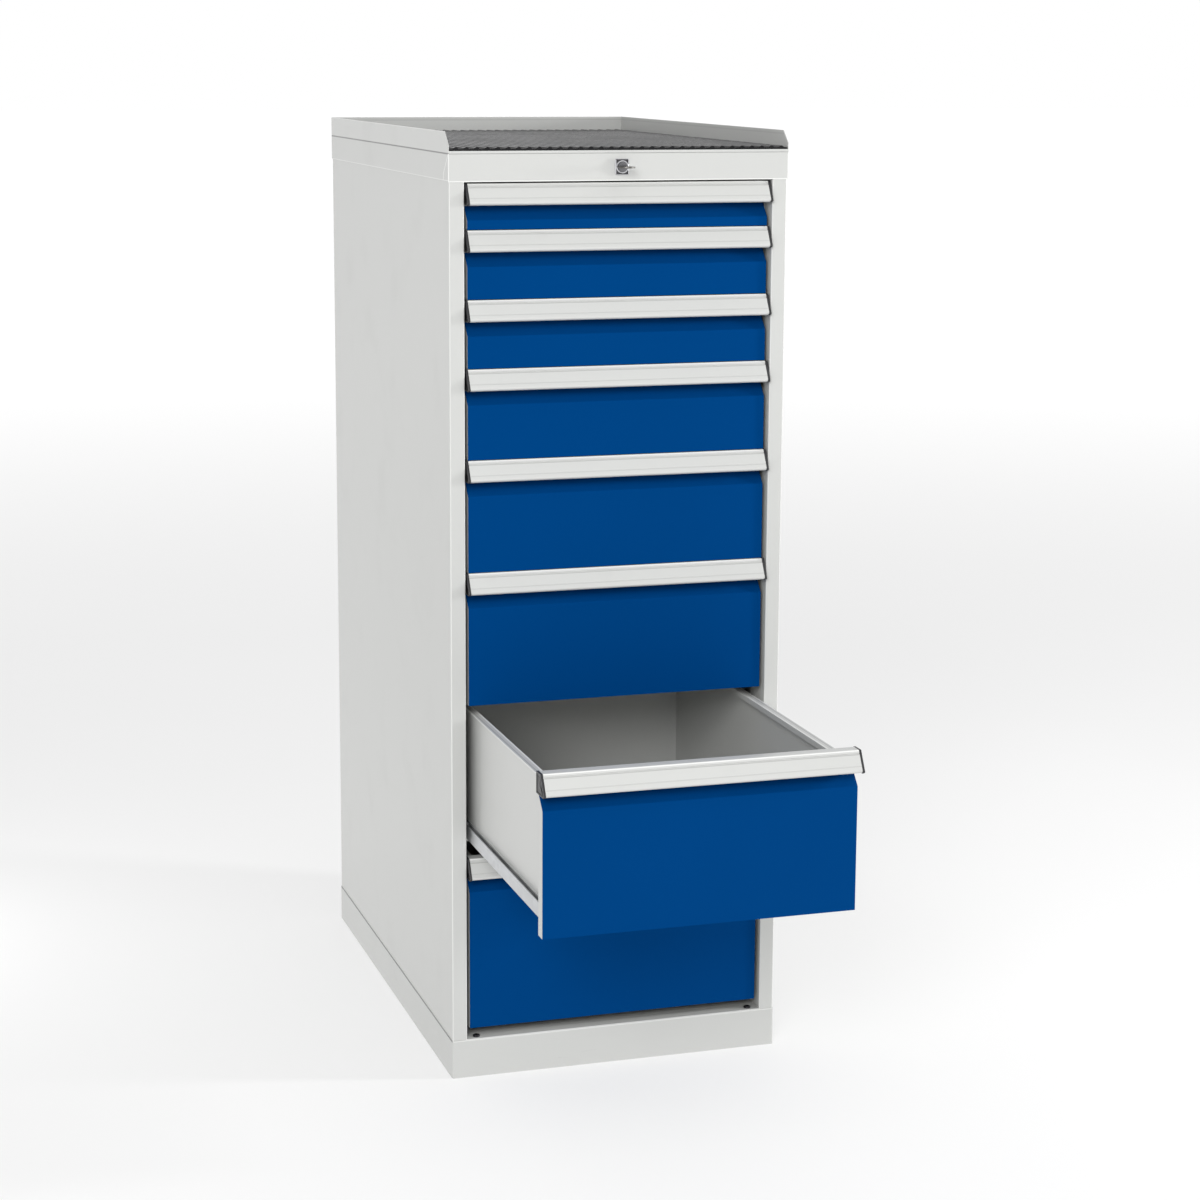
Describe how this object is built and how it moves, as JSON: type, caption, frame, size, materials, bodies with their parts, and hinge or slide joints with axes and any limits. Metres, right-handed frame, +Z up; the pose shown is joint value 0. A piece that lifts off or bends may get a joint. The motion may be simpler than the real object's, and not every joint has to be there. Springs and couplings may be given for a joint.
{
  "type": "drawer cabinet",
  "caption": "Tall sheet-steel drawer cabinet on a plinth, with blue fronts, slanted full-width grips, a central key lock and a rimmed top tray with a ribbed mat.",
  "frame": {"origin": "middle of the plinth's footprint on the floor", "axes": "+Z up, the drawers open towards -Y, +X to the right of someone who stands in front"},
  "size_m": [0.502, 1.172, 1.374],
  "materials": {
    "body_paint": "fine textured",
    "drawer_grey": "satin",
    "grip_paint": "satin",
    "drawer_blue": "satin",
    "end_plastic": "matt",
    "mat_rubber": "matt",
    "zinc_sheet": "zinc plated",
    "nylon": "matt",
    "lock_chrome": "dark chrome",
    "key_nickel": "nickel plated",
    "black_screw": "black oxide"
  },
  "bodies": {
    "cabinet": {"left_side": "body_paint", "right_side": "body_paint", "back_panel": "body_paint", "floor_panel": "body_paint", "plinth": "body_paint", "plinth_screws": "black_screw", "top_cap": "body_paint", "top_tray": "body_paint", "mat": "mat_rubber", "rear_uprights": "zinc_sheet", "slide_channels": "zinc_sheet", "slide_glides": "nylon", "lock_housing": "lock_chrome", "lock_nut": "zinc_sheet", "rod_bracket": "zinc_sheet", "bar_guides": "nylon"},
    "lock_core": {"lock_cylinder": "lock_chrome", "key": "key_nickel", "lock_rod": "zinc_sheet"},
    "lock_bar": {"locking_bar": "zinc_sheet"},
    "drawer_1": {"drawer_1_box": "drawer_grey", "drawer_1_front": "drawer_blue", "drawer_1_handle": "grip_paint", "drawer_1_end_caps": "end_plastic", "drawer_1_rails": "zinc_sheet"},
    "drawer_2": {"drawer_2_box": "drawer_grey", "drawer_2_front": "drawer_blue", "drawer_2_handle": "grip_paint", "drawer_2_end_caps": "end_plastic", "drawer_2_rails": "zinc_sheet"},
    "drawer_3": {"drawer_3_box": "drawer_grey", "drawer_3_front": "drawer_blue", "drawer_3_handle": "grip_paint", "drawer_3_end_caps": "end_plastic", "drawer_3_rails": "zinc_sheet"},
    "drawer_4": {"drawer_4_box": "drawer_grey", "drawer_4_front": "drawer_blue", "drawer_4_handle": "grip_paint", "drawer_4_end_caps": "end_plastic", "drawer_4_rails": "zinc_sheet"},
    "drawer_5": {"drawer_5_box": "drawer_grey", "drawer_5_front": "drawer_blue", "drawer_5_handle": "grip_paint", "drawer_5_end_caps": "end_plastic", "drawer_5_rails": "zinc_sheet"},
    "drawer_6": {"drawer_6_box": "drawer_grey", "drawer_6_front": "drawer_blue", "drawer_6_handle": "grip_paint", "drawer_6_end_caps": "end_plastic", "drawer_6_rails": "zinc_sheet"},
    "drawer_7": {"drawer_7_box": "drawer_grey", "drawer_7_front": "drawer_blue", "drawer_7_handle": "grip_paint", "drawer_7_end_caps": "end_plastic", "drawer_7_rails": "zinc_sheet"},
    "drawer_8": {"drawer_8_box": "drawer_grey", "drawer_8_front": "drawer_blue", "drawer_8_handle": "grip_paint", "drawer_8_end_caps": "end_plastic", "drawer_8_rails": "zinc_sheet"}
  },
  "joints": [
    {"name": "lock_turn", "type": "hinge", "parent": "cabinet", "child": "lock_core", "pos_m": [0, -0.39, 1.3245], "axis": [0, 1, 0], "range_deg": [0, 90]},
    {"name": "bar_lift", "type": "slide", "parent": "cabinet", "child": "lock_bar", "axis": [0, 0, 1], "range_m": [0, 0.01]},
    {"name": "drawer_1_slide", "type": "slide", "parent": "cabinet", "child": "drawer_1", "axis": [0, -1, 0], "range_m": [0, 0.54]},
    {"name": "drawer_2_slide", "type": "slide", "parent": "cabinet", "child": "drawer_2", "axis": [0, -1, 0], "range_m": [0, 0.54]},
    {"name": "drawer_3_slide", "type": "slide", "parent": "cabinet", "child": "drawer_3", "axis": [0, -1, 0], "range_m": [0, 0.54]},
    {"name": "drawer_4_slide", "type": "slide", "parent": "cabinet", "child": "drawer_4", "axis": [0, -1, 0], "range_m": [0, 0.54]},
    {"name": "drawer_5_slide", "type": "slide", "parent": "cabinet", "child": "drawer_5", "axis": [0, -1, 0], "range_m": [0, 0.54]},
    {"name": "drawer_6_slide", "type": "slide", "parent": "cabinet", "child": "drawer_6", "axis": [0, -1, 0], "range_m": [0, 0.54]},
    {"name": "drawer_7_slide", "type": "slide", "parent": "cabinet", "child": "drawer_7", "axis": [0, -1, 0], "range_m": [-0.38, 0.16]},
    {"name": "drawer_8_slide", "type": "slide", "parent": "cabinet", "child": "drawer_8", "axis": [0, -1, 0], "range_m": [0, 0.54]}
  ],
  "couplings": [
    {"joint": "lock_turn", "follows": "bar_lift", "rad_per_m": 157.07}
  ]
}
